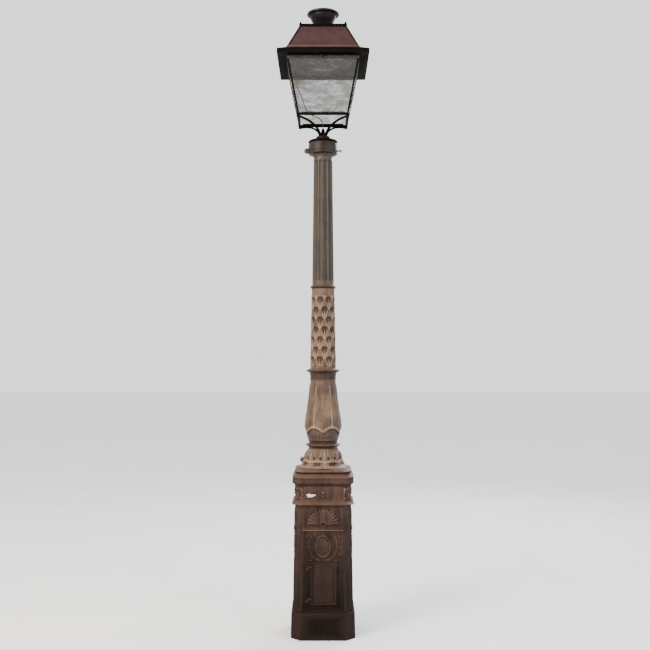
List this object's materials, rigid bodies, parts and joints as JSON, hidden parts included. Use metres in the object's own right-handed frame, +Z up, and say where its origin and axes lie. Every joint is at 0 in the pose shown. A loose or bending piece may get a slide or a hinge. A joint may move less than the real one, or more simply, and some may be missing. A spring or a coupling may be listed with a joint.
{
  "type": "street lamp post",
  "caption": "Cast-iron street lamp post: cut-corner pedestal with access door, leaf-clad and fluted column, square glazed lantern with hinged roof.",
  "frame": {"origin": "on the ground, on the column axis, in the plane of the base plate underside", "axes": "+Z up the column, -Y towards the access door and the front of the lantern, +X to the right of the door"},
  "size_m": [0.53, 0.53, 3.715],
  "materials": {
    "pedestal_paint": "satin, weathered",
    "column_paint": "satin, dusty",
    "shaft_paint": "satin, dusty",
    "lantern_black": "satin",
    "roof_paint": "satin, weathered",
    "galvanised": "zinc coated",
    "steel": "plain",
    "window_glass": "clear",
    "lamp_glass": "opal",
    "ceiling_white": "matt, aged",
    "spun_aluminium": "polished",
    "bakelite": "moulded",
    "grey_plastic": "moulded",
    "porcelain": "glazed",
    "brass": "dull",
    "rubber": "matt",
    "plywood": "varnished"
  },
  "bodies": {
    "post": {"base_plate": "galvanised", "core_foot": "galvanised", "core_tube": "galvanised", "plinth": "pedestal_paint", "pedestal": "pedestal_paint", "crest_reliefs": "pedestal_paint", "frieze": "pedestal_paint", "consoles": "pedestal_paint", "cornice": "pedestal_paint", "torus": "column_paint", "door_hinge_lugs": "pedestal_paint", "door_hinge_pins": "steel", "door_gasket": "rubber", "equipment_board": "plywood", "board_clamps": "galvanised", "fuse_box": "grey_plastic", "fuse_box_lid": "grey_plastic", "fuse_carrier": "porcelain", "terminal_block": "bakelite", "earth_stud": "brass", "leaf_bell": "column_paint", "neck_ring": "column_paint", "baluster": "column_paint", "baluster_ring": "column_paint", "leaf_shaft": "column_paint", "shaft_ring": "column_paint", "fluted_shaft": "shaft_paint", "clamp_collar": "shaft_paint", "collar_screws": "steel", "lantern_spigot": "lantern_black", "cable_gland": "lantern_black", "support_arms": "lantern_black", "bottom_frame": "lantern_black", "corner_bars": "lantern_black", "head_frame": "lantern_black", "glass_panes": "window_glass", "glazing_beads": "lantern_black", "ceiling_plate": "ceiling_white", "optic_lens": "lamp_glass", "reflector": "spun_aluminium", "lamp_holder": "porcelain", "lamp": "lamp_glass", "gear_tray": "galvanised", "ballast": "steel", "ignitor": "grey_plastic", "capacitor": "spun_aluminium", "ceiling_gland": "brass", "lantern_terminal": "bakelite", "supply_cable": "rubber", "roof_hinge_pins": "steel"},
    "door": {"access_door": "pedestal_paint"},
    "door_lock": {"lock_barrel": "brass", "lock_cam": "steel"},
    "roof": {"eave_tray": "lantern_black", "roof_shell": "roof_paint", "roof_cornice": "lantern_black", "chimney_neck": "roof_paint", "cap_disc": "lantern_black", "roof_hinge_leaves": "lantern_black"},
    "latch": {"roof_latch": "brass"}
  },
  "joints": [
    {"name": "door_hinge", "type": "hinge", "parent": "post", "child": "door", "pos_m": [-0.088, -0.17666, 0.3241], "axis": [0, -0.0169, -0.9999], "range_deg": [0, 110]},
    {"name": "door_lock_turn", "type": "hinge", "parent": "door", "child": "door_lock", "pos_m": [0.056, -0.17066, 0.324], "axis": [0, -0.9999, 0.0169], "range_deg": [-90, 0]},
    {"name": "roof_hinge", "type": "hinge", "parent": "post", "child": "roof", "pos_m": [0, 0.222, 3.376], "axis": [-1, 0, 0], "range_deg": [0, 100]},
    {"name": "roof_latch_turn", "type": "hinge", "parent": "roof", "child": "latch", "pos_m": [0, -0.24, 3.376], "axis": [0, 0, -1], "range_deg": [-90, 0]}
  ]
}
